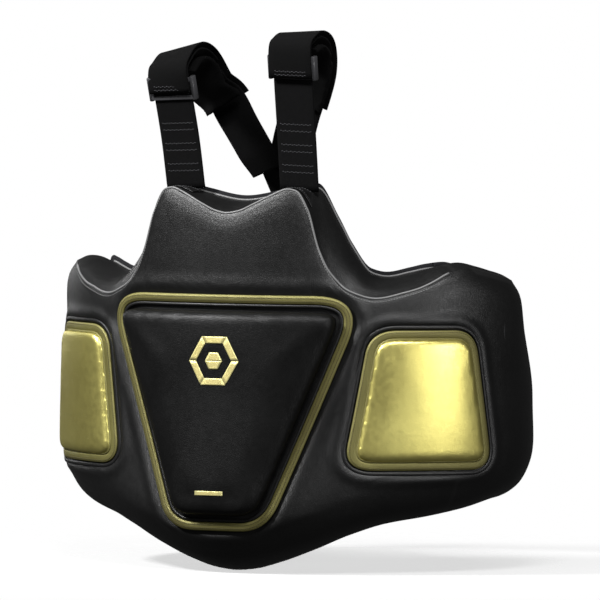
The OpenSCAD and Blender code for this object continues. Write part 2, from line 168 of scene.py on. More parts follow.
# ---- Mesh building ----
def new_object(name, points, faces, material):
    mesh = bpy.data.meshes.new(name)
    mesh.from_pydata([tuple(p) for p in points], [], [tuple(f) for f in faces])
    mesh.polygons.foreach_set("use_smooth", [True] * len(mesh.polygons))
    mesh.materials.append(material)
    mesh.update()
    obj = bpy.data.objects.new(name, mesh)
    bpy.context.collection.objects.link(obj)
    return obj


def place(obj, body, nodes=()):
    """Rides on a body and stands for CAD nodes, which it hides."""
    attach(obj, body)
    finish_piece(nodes)


def finish_piece(nodes):
    if nodes:
        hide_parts(*nodes)


def grid_faces(rows, columns, wrap_rows=False, wrap_columns=False):
    """Quads over a grid of rows by columns of points."""
    index = np.arange(rows * columns).reshape(rows, columns)
    if wrap_rows:
        index = np.vstack([index, index[:1]])
    if wrap_columns:
        index = np.hstack([index, index[:, :1]])
    corners = [index[:-1, :-1], index[:-1, 1:], index[1:, 1:], index[1:, :-1]]
    return np.stack([c.ravel() for c in corners], axis=1).tolist()


def grid_normals(points):
    along = np.gradient(points, axis=0)
    across = np.gradient(points, axis=1)
    normal = np.cross(along, across)
    return normal / np.maximum(np.linalg.norm(normal, axis=-1, keepdims=True), 1e-12)


def grid_border(rows, columns):
    """Indices round the edge of a grid of points."""
    index = np.arange(rows * columns).reshape(rows, columns)
    return np.concatenate([index[0, :-1], index[:-1, -1], index[-1, :0:-1], index[:0:-1, 0]])


def solid(name, points, faces, material):
    """A new object from points in any grid shape, with its faces turned outwards."""
    obj = new_object(name, np.reshape(points, (-1, 3)), faces, material)
    recalculate(obj)
    return obj


def shell_piece(name, points, normals, thickness, material):
    """A closed skin from a grid of outer points, thickened inwards, that keeps the grid's shading."""
    rows, columns = points.shape[:2]
    count = rows * columns
    outer = [f[::-1] for f in grid_faces(rows, columns)]
    inner = [[v + count for v in reversed(f)] for f in outer]
    border = grid_border(rows, columns)
    rim = [[a, b, b + count, a + count] for a, b in zip(border, np.roll(border, -1))]
    flat, shade = points.reshape(-1, 3), normals.reshape(-1, 3)
    obj = new_object(name, np.vstack([flat, flat - shade * thickness]), outer + inner + rim, material)
    obj.data.normals_split_custom_set_from_vertices(np.vstack([shade, -shade]).tolist())
    return obj


def tube_faces(rings, sides, closed):
    faces = grid_faces(rings, sides, wrap_rows=closed, wrap_columns=True)
    if not closed:
        faces.append(list(reversed(range(sides))))
        faces.append([(rings - 1) * sides + i for i in range(sides)])
    return faces


def unit(vectors):
    return vectors / np.linalg.norm(vectors, axis=-1, keepdims=True)


def frames_along(path, up, closed=False):
    """Unit tangent, side and up vectors along a path; up is a rough up for each point."""
    if closed:
        tangent = unit(np.roll(path, -1, axis=0) - np.roll(path, 1, axis=0))
    else:
        tangent = unit(np.gradient(path, axis=0))
    side = unit(np.cross(tangent, up))
    return tangent, side, np.cross(side, tangent)


def sweep(name, path, side, up, section, material, closed=False):
    """A section of (sideways, upwards) points carried along a path."""
    section = np.array(section, float)
    points = (
        path[:, None, :]
        + side[:, None, :] * section[None, :, 0, None]
        + up[:, None, :] * section[None, :, 1, None]
    )
    faces = tube_faces(len(path), len(section), closed)
    obj = new_object(name, points.reshape(-1, 3), faces, material)
    make_uv(obj, path, section)
    recalculate(obj)
    return obj


def run_lengths(path):
    """Distance along a path at each of its points."""
    return np.concatenate([[0], np.cumsum(np.linalg.norm(np.diff(path, axis=0), axis=1))])


def make_uv(obj, path, section):
    """UV in metres: U along the path, V round the section."""
    along = run_lengths(path)
    sides = len(section)
    layer = obj.data.uv_layers.new(name="metres")
    value = np.zeros((len(obj.data.loops), 2))
    loop_vertex = np.zeros(len(obj.data.loops), int)
    obj.data.loops.foreach_get("vertex_index", loop_vertex)
    value[:, 0] = along[np.minimum(loop_vertex // sides, len(along) - 1)]
    value[:, 1] = section[loop_vertex % sides, 0]
    layer.data.foreach_set("uv", value.ravel())


def mesh_points(obj):
    points = np.empty(len(obj.data.vertices) * 3)
    obj.data.vertices.foreach_get("co", points)
    return points.reshape(-1, 3)


def recalculate(obj):
    """Turns every face outwards."""
    bpy.context.view_layer.objects.active = obj
    bpy.ops.object.mode_set(mode="EDIT")
    bpy.ops.mesh.select_all(action="SELECT")
    bpy.ops.mesh.normals_make_consistent(inside=False)
    bpy.ops.object.mode_set(mode="OBJECT")


def round_section(radius, sides=8):
    turn = np.linspace(0, 2 * np.pi, sides, endpoint=False)
    return np.stack([np.cos(turn), np.sin(turn)], axis=1) * radius


def flat_section(width, thick, parts=6):
    """A flat strap's section: a long rectangle with round edges and a row of points across."""
    across = np.linspace(-1, 1, parts) * (width / 2 - thick / 2)
    turn = np.linspace(-np.pi / 2, np.pi / 2, 5)[1:-1]
    right = np.stack([width / 2 - thick / 2 + np.cos(turn) * thick / 2, np.sin(turn) * thick / 2], axis=1)
    lower = np.stack([across, np.full(parts, -thick / 2)], axis=1)
    upper = np.stack([across[::-1], np.full(parts, thick / 2)], axis=1)
    left = -right
    return np.vstack([lower, right, upper, left])


def stitches(name, centres, tangents, ups, length, radius, material):
    """A row of separate short threads, one at each centre."""
    turn = np.linspace(0, 2 * np.pi, 6, endpoint=False)
    reach = np.array([-1, -0.75, 0, 0.75, 1]) * length / 2
    thick = np.array([0.25, 0.85, 1, 0.85, 0.25]) * radius
    sides = np.cross(tangents, ups)
    ring = np.stack([np.cos(turn), np.sin(turn)], axis=1)
    points = (
        centres[:, None, None, :]
        + tangents[:, None, None, :] * reach[None, :, None, None]
        + sides[:, None, None, :] * (thick[:, None] * ring[:, 0])[None, :, :, None]
        + ups[:, None, None, :] * (thick[:, None] * ring[:, 1])[None, :, :, None]
    )
    single = tube_faces(5, 6, False)
    faces = [[v + k * 30 for v in face] for k in range(len(centres)) for face in single]
    return new_object(name, points.reshape(-1, 3), faces, material)


def evenly(path, pitch, closed=False):
    """Fractional positions along a path, one every pitch."""
    run = np.vstack([path, path[:1]]) if closed else path
    along = run_lengths(run)
    count = max(2, int(round(along[-1] / pitch)))
    wanted = (np.arange(count) + 0.5) * along[-1] / count
    return np.interp(wanted, along, np.arange(len(along)))


def pick(values, places, closed=False):
    """Values at fractional positions along a path."""
    run = np.vstack([values, values[:1]]) if closed else values
    low = np.minimum(places.astype(int), len(run) - 2)
    return mix(run[low], run[low + 1], (places - low)[:, None])


def spline(points, parts):
    """A smooth route through points, with parts steps in each stretch."""
    p = np.array(points, float)
    p = np.vstack([2 * p[0] - p[1], p, 2 * p[-1] - p[-2]])
    a, b, c, d = p[:-3, None], p[1:-2, None], p[2:-1, None], p[3:, None]
    t = (np.arange(parts) / parts)[None, :, None]
    body = b + 0.5 * ((c - a) * t + (2 * a - 5 * b + 4 * c - d) * t**2 + (3 * b - a - 3 * c + d) * t**3)
    return np.vstack([body.reshape(-1, p.shape[1]), p[-2:-1]])


# ---- Materials ----
class Nodes:
    """A short way to add and link shader nodes."""

    def __init__(self, name):
        self.material = bpy.data.materials.new(name)
        self.material.use_nodes = True
        self.tree = self.material.node_tree
        self.surface = self.tree.nodes["Principled BSDF"]

    def add(self, kind, inputs=None, **settings):
        node = self.tree.nodes.new(kind)
        for key, value in settings.items():
            setattr(node, key, value)
        for key, value in (inputs or {}).items():
            self.put(node, key, value)
        return node

    def put(self, node, key, value):
        if isinstance(value, bpy.types.NodeSocket):
            self.tree.links.new(value, node.inputs[key])
        else:
            node.inputs[key].default_value = value

    def coordinates(self, kind="Object"):
        return self.add("ShaderNodeTexCoord").outputs[kind]

    def set(self, **inputs):
        for key, value in inputs.items():
            self.put(self.surface, key.replace("_", " "), value)

    def noise(self, where, scale, detail=4.0, rough=0.55):
        return self.add(
            "ShaderNodeTexNoise", {"Vector": where, "Scale": scale, "Detail": detail, "Roughness": rough}
        ).outputs["Fac"]

    def ranged(self, value, low, high, to_low, to_high):
        return self.add(
            "ShaderNodeMapRange",
            {"Value": value, "From Min": low, "From Max": high, "To Min": to_low, "To Max": to_high},
        ).outputs["Result"]

    def maths(self, operation, a, b=0.0):
        return self.add("ShaderNodeMath", {0: a, 1: b}, operation=operation).outputs[0]

    def blend(self, share, a, b):
        node = self.add("ShaderNodeMix", data_type="RGBA")
        for key, value in ((0, share), (6, a), (7, b)):
            self.put(node, key, value)
        return node.outputs[2]

    def bump(self, height, distance, strength=1.0, normal=None):
        inputs = {"Height": height, "Distance": distance, "Strength": strength}
        if normal is not None:
            inputs["Normal"] = normal
        return self.add("ShaderNodeBump", inputs).outputs["Normal"]


def colour(r, g, b):
    return (r, g, b, 1)


def grey(level):
    return colour(level, level, level)


def times(base, factor, lift=0.0):
    """The same colour, lighter or darker."""
    return tuple(min(1, c * factor + lift) for c in base[:3]) + (1,)


def leather(name, base, dark, rough, metallic=0.0, grain=620.0, grain_depth=0.00012, shine=0.5):
    """Grained leather: fine cells, soft creases, colour and gloss that vary a little, and a painted
    highlight that lightens convex edges.
    """
    n = Nodes(name)
    where = n.coordinates()
    cells = n.add("ShaderNodeTexVoronoi", {"Vector": where, "Scale": grain}, feature="DISTANCE_TO_EDGE")
    pores = n.ranged(cells.outputs["Distance"], 0.0, 0.18, 0.0, 1.0)
    cloud = n.noise(where, 9.0, 5.0)
    fine = n.noise(where, 160.0, 3.0)
    crease = n.noise(where, 34.0, 6.0, 0.65)
    shade = n.ranged(cloud, 0.3, 0.7, 0.0, 1.0)
    tint = n.blend(shade, dark, base)
    # Painted highlight: convex edges, picked out by pointiness, are lightened by up to 35 percent towards a
    # paler copy of the base colour.
    convex_edges = n.add("ShaderNodeNewGeometry").outputs["Pointiness"]
    painted_edge_highlight = n.ranged(convex_edges, 0.52, 0.60, 0.0, 0.35)
    lighter = times(base, 1.9, 0.012)
    n.set(Base_Color=n.blend(painted_edge_highlight, tint, lighter), Metallic=metallic)
    n.set(Roughness=n.ranged(n.maths("ADD", fine, cloud), 0.6, 1.4, rough - 0.06, rough + 0.07))
    grain_bump = n.bump(pores, grain_depth, 0.6)
    soft = n.bump(crease, 0.0006, 0.35, grain_bump)
    n.set(Normal=soft)
    n.set(Specular_IOR_Level=shine)
    return n.material


def woven(name, base, light, pitch=0.0011, rib_axis=None):
    """Woven tape: crossing threads from the UV, in metres, or ribs that follow each other on one axis."""
    n = Nodes(name)
    where = n.coordinates("UV")
    parts = n.add("ShaderNodeSeparateXYZ", {"Vector": where}).outputs
    turn = 2 * math.pi / pitch
    warp = n.maths("SINE", n.maths("MULTIPLY", parts[1], turn))
    weft = n.maths("SINE", n.maths("MULTIPLY", parts[0], turn * 0.8))
    height = n.maths("MULTIPLY", warp, weft) if rib_axis is None else (weft, warp)[rib_axis]
    height = n.ranged(height, -1.0, 1.0, 0.0, 1.0)
    fuzz = n.noise(n.coordinates(), 240.0, 4.0)
    share = n.maths("MULTIPLY", height, n.ranged(fuzz, 0.3, 0.7, 0.5, 1.0))
    n.set(Base_Color=n.blend(share, base, light), Roughness=0.85, Specular_IOR_Level=0.08)
    n.set(Sheen_Weight=0.01, Sheen_Roughness=0.5)
    n.set(Normal=n.bump(height, 0.00035, 0.7, n.bump(fuzz, 0.0003, 0.3)))
    return n.material


def cloth(name, base, light, scale=900.0):
    """Close-woven fabric that needs no UV."""
    n = Nodes(name)
    where = n.coordinates()
    waves = [
        n.add(
            "ShaderNodeTexWave",
            {"Vector": where, "Scale": scale / 3, "Distortion": 0.6, "Detail": 1.0},
            bands_direction=axis,
        ).outputs["Fac"]
        for axis in ("X", "Z")
    ]
    height = n.maths("MULTIPLY", waves[0], waves[1])
    cloud = n.noise(where, 14.0, 4.0)
    share = n.maths("MULTIPLY", height, n.ranged(cloud, 0.3, 0.7, 0.6, 1.0))
    n.set(Base_Color=n.blend(share, base, light), Roughness=0.9, Specular_IOR_Level=0.08)
    n.set(Sheen_Weight=0.01, Sheen_Roughness=0.45)
    n.set(Normal=n.bump(height, 0.0003, 0.6, n.bump(cloud, 0.002, 0.3)))
    return n.material


def plastic(name, base, rough):
    n = Nodes(name)
    where = n.coordinates()
    grain = n.noise(where, 700.0, 3.0)
    scuff = n.noise(where, 60.0, 5.0)
    n.set(Base_Color=n.blend(scuff, base, times(base, 1.4)))
    n.set(Roughness=n.ranged(scuff, 0.3, 0.7, rough - 0.08, rough + 0.1))
    n.set(Normal=n.bump(grain, 0.00008, 0.4))
    return n.material


def foam(name, base):
    n = Nodes(name)
    where = n.coordinates()
    cells = n.add("ShaderNodeTexVoronoi", {"Vector": where, "Scale": 450.0}).outputs["Distance"]
    n.set(Base_Color=n.blend(cells, base, times(base, 1.5)), Roughness=0.95)
    n.set(Normal=n.bump(cells, 0.0006, 0.6))
    return n.material


def thread(name, base):
    n = Nodes(name)
    where = n.coordinates()
    twist = n.noise(where, 1800.0, 2.0)
    n.set(Base_Color=n.blend(twist, base, times(base, 0.6)), Roughness=0.7)
    n.set(Normal=n.bump(twist, 0.0002, 0.5))
    return n.material


BLACK_LEATHER = leather("black_leather", grey(0.006), grey(0.004), 0.40, shine=0.45)
CHEST_LEATHER = leather("chest_leather", grey(0.005), grey(0.003), 0.40, shine=0.2)
GOLD_LEATHER = leather(
    "gold_leather", colour(0.76, 0.69, 0.22), colour(0.66, 0.58, 0.17), 0.36, metallic=0.9, grain=900.0,
    grain_depth=0.00005,
)
# Darker gold for the chest border and the side pads' flanges and welts: partly a duller gold of their own,
# partly painted shade for bands that sit low and face down.
DULL_GOLD_PAINTED_SHADE = leather(
    "dull_gold_painted_shade", colour(0.19, 0.175, 0.055), colour(0.14, 0.125, 0.04), 0.46, metallic=0.5, grain=1200.0
)
GOLD_PRINT = leather(
    "gold_print", colour(0.72, 0.63, 0.27), colour(0.66, 0.57, 0.22), 0.45, metallic=0.5, grain=900.0
)
SEAM_GREY = leather("seam_grey", grey(0.16), grey(0.10), 0.42)
WEBBING = woven("webbing", grey(0.0015), colour(0.005, 0.005, 0.0055))
ELASTIC = woven(
    "ribbed_elastic", colour(0.006, 0.006, 0.007), colour(0.034, 0.034, 0.037), 0.0024, rib_axis=1
)
TAB_ELASTIC = woven(
    "ribbed_tab", colour(0.020, 0.020, 0.021), colour(0.075, 0.075, 0.078), 0.0026, rib_axis=0
)
SLEEVE = cloth("shoulder_fabric", grey(0.0015), colour(0.005, 0.005, 0.0055))
LINER = cloth("liner_fabric", colour(0.010, 0.010, 0.011), colour(0.030, 0.030, 0.033), 1200.0)
PILE = cloth("hook_and_loop", colour(0.006, 0.006, 0.006), colour(0.028, 0.028, 0.030), 700.0)
PLASTIC = plastic("strap_plastic", colour(0.045, 0.045, 0.048), 0.28)
DARK_THREAD = thread("dark_thread", colour(0.07, 0.055, 0.015))
BLACK_THREAD = thread("black_thread", colour(0.05, 0.05, 0.055))
GREY_THREAD = thread("grey_thread", grey(0.30))
FOAM = foam("foam", colour(0.012, 0.012, 0.013))
GEL = plastic("gel", colour(0.10, 0.25, 0.33), 0.2)

# ---- Pad outlines, flat, as (across, height) in metres ----
CHEST_CORNERS = np.array([(-168, 318), (168, 318), (64, 48), (-64, 48)]) * MM
CHEST_REACH = np.array([58, 58, 34, 34]) * MM
CHEST_MIDDLE = np.array([0, 180]) * MM
SIDE_CORNERS = np.array([(-60, 279), (58, 279), (83, 119), (-83, 119)]) * MM
SIDE_REACH = np.array([28, 28, 30, 30]) * MM
SIDE_MIDDLE = np.array([0, 195]) * MM
SIDE_ANGLE = 50.5
SIDE_M_PER_DEGREE = 3.95 * MM
BORDER = 10 * MM


def outline(corners, reach, step=4 * MM):
    """Closed outline through corners, each rounded from its reach along both edges."""
    points = []
    for i, corner in enumerate(corners):
        before, after = corners[i - 1], corners[(i + 1) % len(corners)]
        to_before, to_after = unit(before - corner), unit(after - corner)
        a, b = corner + to_before * reach[i], corner + to_after * reach[i]
        t = np.linspace(0, 1, 13)[:, None]
        points.append((1 - t) ** 2 * a + 2 * t * (1 - t) * corner + t**2 * b)
        c = after - to_after * reach[(i + 1) % len(corners)]
        count = int(np.linalg.norm(c - b) / step)
        run = (np.arange(1, count) / count)[:, None]
        points.append(mix(b, c, run))
    ring = np.vstack(points)
    places = evenly(ring, step, closed=True)
    return pick(ring, places, closed=True)


def outline_normals(ring):
    """Outward unit normals of a clockwise ring."""
    run = unit(np.roll(ring, -1, axis=0) - np.roll(ring, 1, axis=0))
    return np.stack([-run[:, 1], run[:, 0]], axis=1)


CHEST_RING = outline(CHEST_CORNERS, CHEST_REACH)
SIDE_RING = outline(SIDE_CORNERS, SIDE_REACH)


def ring_distance(ring, points):
    """Distance from points to a ring, negative inside it."""
    flat = points.reshape(-1, 2)
    normal = outline_normals(ring)
    distance = np.empty(len(flat))
    for start in range(0, len(flat), 4000):
        some = flat[start : start + 4000]
        gap = some[:, None, :] - ring[None, :, :]
        away = np.linalg.norm(gap, axis=2)
        near = np.argmin(away, axis=1)
        sign = np.sign(np.sum(gap[np.arange(len(some)), near] * normal[near], axis=1))
        distance[start : start + 4000] = away[np.arange(len(some)), near] * sign
    return distance.reshape(points.shape[:-1])


# ---- Body cover: one grid round the whole trunk ----
def body_angles():
    end = WING_END - WING_ROUND + WING_ROUND * np.sin(np.linspace(0, np.pi / 2, 16)[1:])
    half = np.concatenate(
        [np.arange(0, 13, 1.0), np.arange(13, 33, 0.5), np.arange(33, SPLIT_ANGLE, 1.0),
         np.arange(SPLIT_ANGLE, WING_END - WING_ROUND + 0.1, 1.0), end]
    )
    return np.concatenate([-half[:0:-1], half])


ANGLES = body_angles()


def columns_from(low, high):
    return np.where((ANGLES >= low - 1e-6) & (ANGLES <= high + 1e-6))[0]


def section_controls(angle):
    """Control points of the wall's outer section as (angles, points, 2): the panel, then the gusset."""
    low = height_at(BOTTOM_HEIGHTS, angle)
    seam = height_at(SEAM_HEIGHTS, angle)
    edge = height_at(LINER_HEIGHTS, angle) - 7 * MM
    rise = edge - seam
    share = ramp(np.abs(angle), 48, 68)[:, None, None]
    zero = np.zeros_like(low)

    def stack(rows):
        return np.stack([np.stack([zero + d * MM, h], axis=-1) for d, h in rows], axis=1)

    foot = stack(
        [(52, low + 6 * MM), (42, low + 0.5 * MM), (31, low + 2.5 * MM), (16, low + 14 * MM),
         (5, low + 34 * MM), (0, low + 58 * MM)]
    )
    flat_top = stack([(0, seam - 14 * MM), (0, seam)])
    crown_top = stack([(2.4, edge - 20 * MM), (13, edge + 1 * MM)])
    top = mix(flat_top, crown_top, share)
    climb = np.stack([mix(foot[:, -1], top[:, 0], s) for s in (0.25, 0.5, 0.75)], axis=1)
    panel = np.concatenate([foot, climb, top], axis=1)
    flat_back = stack(
        [(5, seam), (20, seam + 0.42 * rise), (40, seam + 0.84 * rise), (52, edge)]
    )
    crown_back = stack(
        [(13, edge + 1 * MM), (26, edge + 7 * MM), (40, edge + 6 * MM), (52, edge)]
    )
    return panel, mix(flat_back, crown_back, share), share[:, 0, 0]


def dense(controls, counts):
    """Catmull-Rom curve through control points along axis 1, with a count of steps for each stretch."""
    first = 2 * controls[:, :1] - controls[:, 1:2]
    last = 2 * controls[:, -1:] - controls[:, -2:-1]
    p = np.concatenate([first, controls, last], axis=1)
    pieces = []
    for i, count in enumerate(counts):
        a, b, c, d = (p[:, i + k][:, None, :] for k in range(4))
        t = (np.arange(count) / count)[None, :, None]
        bend = (c - a) * t + (2 * a - 5 * b + 4 * c - d) * t**2 + (3 * b - a - 3 * c + d) * t**3
        pieces.append(b + 0.5 * bend)
    pieces.append(controls[:, -1:])
    return np.concatenate(pieces, axis=1)


def arc_lengths():
    """Distance round the outer face at each angle, from the middle of the front."""
    points = on_trunk(ANGLES, 0.0, 0.2)[:, :2]
    along = run_lengths(points)
    return along - along[len(along) // 2]


def seam_distance(section_heights):
    """How far each point of the front panel is from the top seam, on the flattened cover."""
    along = arc_lengths()
    fine = np.linspace(ANGLES[0], ANGLES[-1], 900)
    seam = np.stack([np.interp(fine, ANGLES, along), height_at(SEAM_HEIGHTS, fine)], axis=1)
    distance = np.empty_like(section_heights)
    for i, s in enumerate(along):
        near = seam[np.abs(seam[:, 0] - s) < 0.06]
        gap = np.hypot(near[None, :, 0] - s, near[None, :, 1] - section_heights[i][:, None])
        distance[i] = np.min(gap, axis=1)
    return distance


PANEL_COUNTS = [3, 4, 4, 5, 6, 15, 15, 15, 15, 5]
BACK_COUNTS = [6, 6, 4]
ROLL = 26 * MM


def pad_dip(distance, ridge, dip):
    """Outward shift of the leather near a pad: a stitched-down channel with a swell outside it."""
    swell = ridge * np.exp(-(((distance - 11 * MM) / (6.5 * MM)) ** 2))
    channel = dip * np.exp(-((np.maximum(distance, 0) / (3.2 * MM)) ** 2))
    return np.where(distance > 0, swell * ramp(distance, 0, 6 * MM) - channel, -dip)


def cover_grid():
    """Outer points of the cover, their (angle, panel share) and the row of the seam."""
    panel_controls, back_controls, crown = section_controls(ANGLES)
    panel = dense(panel_controls, PANEL_COUNTS)
    back = dense(back_controls, BACK_COUNTS)
    angle = ANGLES[:, None]
    away = seam_distance(panel[:, :, 1])
    close = np.clip(1 - away / ROLL, 0, 1)
    panel[:, :, 0] += 5 * MM * (1 - crown[:, None]) * (1 - np.sqrt(1 - close**2.2))
    across = HALF_WIDTH * np.sin(np.radians(angle)) + 0 * panel[:, :, 0]
    front = np.abs(angle) + 0 * across < 45
    chest = ring_distance(CHEST_RING, np.stack([across, panel[:, :, 1]], axis=-1))
    side_x = (np.abs(angle) - SIDE_ANGLE) * SIDE_M_PER_DEGREE + 0 * across
    side = ring_distance(SIDE_RING, np.stack([side_x, panel[:, :, 1]], axis=-1))
    shift = np.where(front, pad_dip(chest, 1.6 * MM, 1.8 * MM), 0)
    shift = shift + pad_dip(side, 2.6 * MM, 2.2 * MM)
    upright = ramp(panel[:, :, 0], 12 * MM, 2 * MM)
    panel[:, :, 0] -= shift * upright
    back_puff = np.sin(np.pi * np.clip(back[:, :, 0] / WALL, 0, 1)) * 2.5 * MM * (1 - crown[:, None])
    back[:, :, 1] += back_puff * ramp(back[:, :, 0], 5 * MM, 14 * MM)
    groove = panel[:, -1] + np.stack([0.9 * MM * (1 - crown), -1.3 * MM * (1 - crown)], axis=-1)
    section = np.concatenate([panel, groove[:, None], back], axis=1)
    return on_trunk(angle, section[:, :, 0], section[:, :, 1]), panel.shape[1] - 1


COVER, SEAM_ROW = cover_grid()
COVER_NORMALS = grid_normals(COVER)
if np.mean(COVER_NORMALS[len(ANGLES) // 2, SEAM_ROW // 2, 1]) > 0:
    COVER_NORMALS = -COVER_NORMALS


def wing_span(side):
    """First and last angle of a wing's pieces."""
    return sorted([side * SPLIT_ANGLE, side * (WING_END + 1)])


def cover_part(name, low, high):
    chosen = columns_from(low, high)
    return shell_piece(name, COVER[chosen], COVER_NORMALS[chosen], SKIN, BLACK_LEATHER)


FLEX_START, FLEX_STOP = 75, 85


def bend_at_wing(obj, side, nodes):
    """Hides a wing's CAD nodes and bakes the piece's transform; the joint's span is worked out, but the
    piece does not bend.
    """
    name = side_name(side)
    start = on_trunk(side * FLEX_START, WALL / 2, 0.2)
    stop = on_trunk(side * FLEX_STOP, WALL / 2, 0.2)
    finish_piece(nodes)
    tuple(start)
    tuple(stop)
    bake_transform(obj)


def body_cover():
    middle = cover_part("cover_front", -SPLIT_ANGLE, SPLIT_ANGLE)
    place(middle, "shield", ["front_cover", "top_gusset"])
    for side in (LEFT, RIGHT):
        name = side_name(side)
        wing = cover_part(f"cover_{name}_wing", *wing_span(side))
        bend_at_wing(wing, side, [f"{name}_wing_cover"])


# ---- Liner ----
def liner_grid(angles):
    low = height_at(BOTTOM_HEIGHTS, angles) + 9 * MM
    high = height_at(LINER_HEIGHTS, angles)
    inner, outer = WALL, COVER_DEPTH + 0.6 * MM
    climb = [mix(low, high, s) for s in np.linspace(0.06, 0.94, 18)]
    rows = [(outer, low + MM), (outer + 2 * MM, low - MM), (inner - 0.6 * MM, low), (inner, low + 4 * MM)]
    rows += [(inner, h) for h in climb]
    rows += [(inner, high - 4 * MM), (inner - 0.8 * MM, high - 1.2 * MM), (inner - 2.4 * MM, high)]
    rows += [(outer + 0.8 * MM, high - 0.8 * MM), (outer, high - 4 * MM)]
    rows += [(outer, h) for h in reversed(climb)]
    section = np.stack([np.stack([d + 0 * low, h], axis=-1) for d, h in rows], axis=1)
    return on_trunk(angles[:, None], section[:, :, 0], section[:, :, 1])


def liner_part(name, low, high):
    chosen = ANGLES[columns_from(low, high)]
    points = liner_grid(chosen)
    return solid(name, points, tube_faces(*points.shape[:2], False), LINER)


def body_liner():
    place(liner_part("liner_front", -SPLIT_ANGLE, SPLIT_ANGLE), "shield", ["front_liner"])
    for side in (LEFT, RIGHT):
        name = side_name(side)
        part = liner_part(f"liner_{name}_wing", *wing_span(side))
        bend_at_wing(part, side, [f"{name}_wing_liner"])


# ---- Seams of the body ----
def stitched_path(name, path, up, pitch, length, radius, material, closed=False):
    """Thread stitches along a path, one to a pitch."""
    tangent, _, up = frames_along(path, up, closed)
    places = evenly(path, pitch, closed)
    picked = [pick(v, places, closed) for v in (path, tangent, up)]
    return stitches(name, *picked, length, radius, material)


def grid_line(row, low, high, lift):
    chosen = columns_from(low, high)
    return COVER[chosen, row] + COVER_NORMALS[chosen, row] * lift, COVER_NORMALS[chosen, row]


def bead_along(name, path, up, radius):
    _, side, up = frames_along(path, up)
    return sweep(name, path, side, up, round_section(radius), SEAM_GREY)


def body_seams():
    path, up = grid_line(SEAM_ROW, -58, 58, 0.1 * MM)
    bead = bead_along("top_seam_bead", path, up, 1.25 * MM)
    place(bead, "shield", ["top_seam_piping"])
    row, row_up = grid_line(SEAM_ROW - 2, -57, 57, 0.15 * MM)
    stitch = stitched_path("top_seam_stitches", row, row_up, 3.2 * MM, 2.3 * MM, 0.32 * MM, GREY_THREAD)
    place(stitch, "shield")
    last = COVER.shape[1] - 1
    path, up = grid_line(last, -60, 60, 1.0 * MM)
    bead = bead_along("liner_seam_bead", path, up, 1.2 * MM)
    place(bead, "shield", ["liner_edge_piping"])


# ---- Pads ----
def chest_point(flat, rise):
    angle = np.degrees(np.arcsin(np.clip(flat[..., 0] / HALF_WIDTH, -1, 1)))
    return on_trunk(angle, -rise, flat[..., 1])


def side_point(side):
    def point(flat, rise):
        return on_trunk(side * (SIDE_ANGLE + flat[..., 0] / SIDE_M_PER_DEGREE), -rise, flat[..., 1])

    return point


def surface_up(point, flat):
    """Outward direction of the trunk at flat pad coordinates."""
    return unit(point(flat, 2 * MM) - point(flat, 0.0))


def inset_ring(ring, distance):
    """A ring moved inwards by a distance, which may differ from point to point."""
    normal = outline_normals(ring)
    for _ in range(6):
        normal = unit((np.roll(normal, 1, axis=0) + 2 * normal + np.roll(normal, -1, axis=0)) / 4)
    return ring - normal * np.reshape(distance, (-1, 1))


def dome(name, ring, middle, point, foot, bevel, rise, crown, material):
    """A closed pad: its bevelled side, its crowned face and a flat back."""
    normal = outline_normals(ring)
    width = bevel(normal)
    turns = np.linspace(0, 1, 11)
    rings = []
    for q in turns:
        height = rise * (1 - (1 - q) ** 2.3) ** (1 / 2.3)
        rings.append(point(inset_ring(ring, foot + width * q), 0.6 * MM + height))
    inner = inset_ring(ring, foot + width)
    for share in np.linspace(1, 0.04, 13)[1:]:
        height = rise + crown * (1 - share**2)
        rings.append(point(mix(middle, inner, share), 0.6 * MM + height))
    for share in np.linspace(0.04, 1, 9):
        rings.append(point(mix(middle, inset_ring(ring, foot), share), 0.6 * MM))
    points = np.stack(rings)[:-1]
    faces = grid_faces(len(points), len(ring), wrap_rows=True, wrap_columns=True)
    obj = new_object(name, points.reshape(-1, 3), faces, material)
    fill_middles(obj, len(turns) + 11, len(turns) + 12, len(ring))
    recalculate(obj)
    return obj


def fill_middles(obj, top, bottom, count):
    """Swaps the narrow tunnel between the smallest rings of a dome for two caps."""
    tunnel = set(range(top * count, (top + 1) * count)) | set(range(bottom * count, (bottom + 1) * count))
    faces = [list(f.vertices) for f in obj.data.polygons if not set(f.vertices) <= tunnel]
    faces.append(list(range(top * count, (top + 1) * count)))
    faces.append(list(range((bottom + 1) * count - 1, bottom * count - 1, -1)))
    points = [tuple(v.co) for v in obj.data.vertices]
    material = obj.data.materials[0]
    obj.data.clear_geometry()
    obj.data.from_pydata(points, [], faces)
    obj.data.polygons.foreach_set("use_smooth", [True] * len(faces))
    if not obj.data.materials:
        obj.data.materials.append(material)
    obj.data.update()


def band_round(name, ring, point, low_inset, high_inset, rise, material):
    """A domed flat band between two insets of a ring."""
    share = np.array([0, 0.06, 0.3, 0.5, 0.7, 0.94, 1, 0.7, 0.3])
    height = np.array([0.2, 0.72, 0.95, 1, 0.95, 0.72, 0.2, 0, 0]) * rise
    rings = [
        point(inset_ring(ring, mix(low_inset, high_inset, s)), 0.5 * MM + h) for s, h in zip(share, height)
    ]
    faces = grid_faces(len(rings), len(ring), wrap_rows=True, wrap_columns=True)
    return solid(name, rings, faces, material)


def stitched_ring(name, ring, point, inset, rise, pitch, length, radius, material):
    flat = inset_ring(ring, inset)
    path = point(flat, rise)
    up = surface_up(point, flat)
    return stitched_path(name, path, up, pitch, length, radius, material, closed=True)


def spread(obj, values, rounds):
    """Values at the vertices, each averaged with its neighbours a number of times."""
    edges = np.empty(len(obj.data.edges) * 2, int)
    obj.data.edges.foreach_get("vertices", edges)
    a, b = edges.reshape(-1, 2).T
    count = np.bincount(a, minlength=len(values)) + np.bincount(b, minlength=len(values))
    for _ in range(rounds):
        total = np.zeros_like(values)
        np.add.at(total, a, values[b])
        np.add.at(total, b, values[a])
        values = (values + total / np.maximum(count, 1)[:, None]) / 2
    return values


